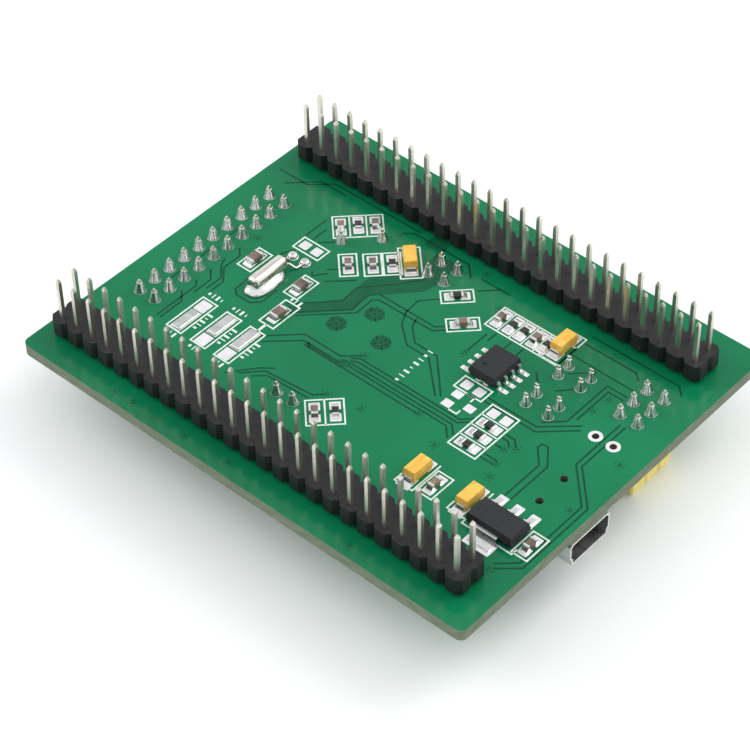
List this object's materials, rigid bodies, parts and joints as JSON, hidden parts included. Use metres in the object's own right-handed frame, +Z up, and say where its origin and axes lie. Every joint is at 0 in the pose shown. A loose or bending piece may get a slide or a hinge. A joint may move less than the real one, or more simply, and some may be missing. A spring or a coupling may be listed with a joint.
{
  "type": "microcontroller header board",
  "caption": "Credit-card-size controller board with two long double-row pin headers, a keyed debug socket, a USB socket, a slide switch, a reset button and pull-off jumper caps.",
  "frame": {"origin": "on the table under the middle of the whole board, which stands on its component side", "axes": "+Z up, along the header pins; +X along the long headers towards the USB socket; +Y across the board towards the back header"},
  "size_m": [0.0686, 0.0554, 0.0193],
  "materials": {
    "solder_mask": "semi-gloss green mask over glass laminate",
    "header_plastic": "moulded, satin",
    "pin_tin": "bright drawn, tin plated",
    "solder": "bright, slightly rippled",
    "chip_epoxy": "fine matte mould texture",
    "lead_tin": "satin tin",
    "tantalum_orange": "satin moulded",
    "capacitor_ceramic": "fired ceramic, satin",
    "resistor_glaze": "glossy glaze",
    "can_steel": "polished, lightly scuffed",
    "shell_steel": "tinned sheet",
    "black_nylon": "moulded, satin",
    "contact_gold": "gold flash",
    "switch_laminate": "pressed paper laminate",
    "jumper_yellow": "moulded, semi-gloss",
    "clip_bronze": "bright spring bronze",
    "lamp_ceramic": "satin white",
    "lamp_lens": "clear pale resin",
    "silkscreen": "printed white ink",
    "bare_pad": "hot-air levelled tin",
    "copper_relief": "green mask in the gaps between copper areas"
  },
  "bodies": {
    "board": {"back_header_pins": "pin_tin", "back_header_solder": "solder", "back_header_strip": "header_plastic", "controller_body": "chip_epoxy", "controller_leads": "lead_tin", "debug_socket_pins": "pin_tin", "debug_socket_shroud": "header_plastic", "debug_socket_solder": "solder", "front_header_pins": "pin_tin", "front_header_solder": "solder", "front_header_strip": "header_plastic", "jumper_header_pins": "pin_tin", "jumper_header_solder": "solder", "jumper_header_strip": "header_plastic", "lamp_carriers": "lamp_ceramic", "lamp_lenses": "lamp_lens", "lower_capacitor_bodies": "capacitor_ceramic", "lower_capacitor_ends": "lead_tin", "lower_resistor_bodies": "resistor_glaze", "lower_resistor_ends": "lead_tin", "main_crystal_base": "can_steel", "main_crystal_can": "can_steel", "main_crystal_solder": "solder", "main_crystal_wires": "pin_tin", "memory_chip_body": "chip_epoxy", "memory_chip_leads": "lead_tin", "pcb": "solder_mask", "regulator_body": "chip_epoxy", "regulator_leads": "lead_tin", "reset_button_base": "black_nylon", "reset_button_cover": "shell_steel", "reset_button_legs": "lead_tin", "slide_switch_base": "switch_laminate", "slide_switch_frame": "shell_steel", "slide_switch_solder": "solder", "slide_switch_terminals": "pin_tin", "small_header_pins": "pin_tin", "small_header_solder": "solder", "small_header_strips": "header_plastic", "solder_bridges": "solder", "tantalum_bodies": "tantalum_orange", "tantalum_tabs": "lead_tin", "upper_capacitor_bodies": "capacitor_ceramic", "upper_capacitor_ends": "lead_tin", "upper_resistor_bodies": "resistor_glaze", "upper_resistor_ends": "lead_tin", "usb_contacts": "contact_gold", "usb_insulator": "black_nylon", "usb_shell": "shell_steel", "watch_crystal_can": "can_steel", "watch_crystal_solder": "solder", "watch_crystal_wires": "pin_tin"},
    "power_knob": {"slide_switch_knob": "black_nylon"},
    "reset_plunger": {"reset_button_plunger": "black_nylon"},
    "jumper_1": {"jumper_cap_1": "jumper_yellow", "jumper_clip_1": "clip_bronze"},
    "jumper_2": {"jumper_cap_2": "jumper_yellow", "jumper_clip_2": "clip_bronze"},
    "jumper_3": {"jumper_cap_3": "jumper_yellow", "jumper_clip_3": "clip_bronze"}
  },
  "joints": [
    {"name": "power_slide", "type": "slide", "parent": "board", "child": "power_knob", "axis": [0, 1, 0], "range_m": [-0.002, 0.002]},
    {"name": "reset_press", "type": "slide", "parent": "board", "child": "reset_plunger", "axis": [0, 0, 1], "range_m": [0, 0.00025], "stiffness_N_per_m": 4000},
    {"name": "jumper_1_pull", "type": "slide", "parent": "board", "child": "jumper_1", "axis": [0, 0, -1], "range_m": [0, 0.006]},
    {"name": "jumper_2_pull", "type": "slide", "parent": "board", "child": "jumper_2", "axis": [0, 0, -1], "range_m": [0, 0.006]},
    {"name": "jumper_3_pull", "type": "slide", "parent": "board", "child": "jumper_3", "axis": [0, 0, -1], "range_m": [0, 0.006]}
  ]
}
